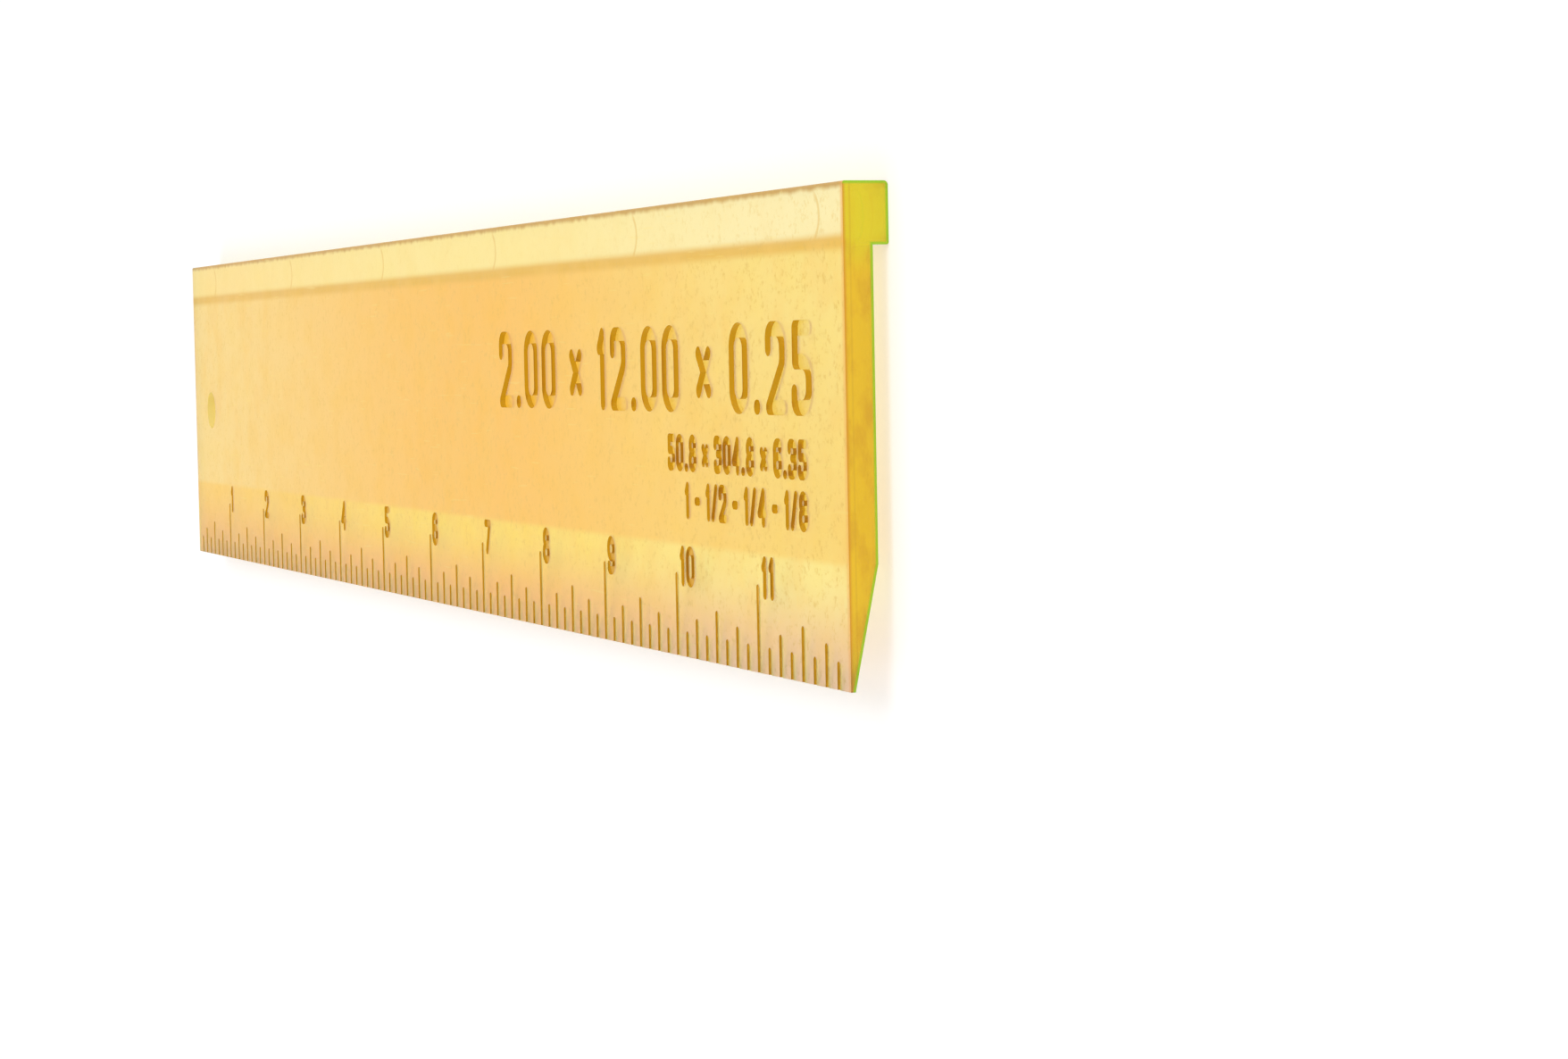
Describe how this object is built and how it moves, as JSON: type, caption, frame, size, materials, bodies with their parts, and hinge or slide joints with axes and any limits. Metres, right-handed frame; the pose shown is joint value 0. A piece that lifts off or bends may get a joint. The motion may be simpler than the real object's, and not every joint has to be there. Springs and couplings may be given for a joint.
{
  "type": "quilting ruler",
  "caption": "Translucent amber quilting ruler with a seam-allowance lip under one long side, a bevelled sharp edge with sunken graduations and numerals, and a hang hole.",
  "frame": {"origin": "under the middle of the ruler, level with the underside of the lip, with the marked face up", "axes": "+X along the scale towards the high numbers, +Y from the sharp edge to the lip, +Z out of the marked face"},
  "size_m": [0.3048, 0.0508, 0.0049],
  "materials": {
    "ruler_plastic": "translucent fluorescent amber, satin on the marked face and polished on the back and edges",
    "mark_colour": "thin brown-amber colour on the floors of the sunken marks"
  },
  "bodies": {
    "root": {"blade": "ruler_plastic", "eighth_inch_marks": "mark_colour", "half_inch_marks": "mark_colour", "inch_marks": "mark_colour", "numeral_1": "mark_colour", "numeral_10": "mark_colour", "numeral_11": "mark_colour", "numeral_2": "mark_colour", "numeral_3": "mark_colour", "numeral_4": "mark_colour", "numeral_5": "mark_colour", "numeral_6": "mark_colour", "numeral_7": "mark_colour", "numeral_8": "mark_colour", "numeral_9": "mark_colour", "quarter_inch_marks": "mark_colour"}
  },
  "joints": []
}
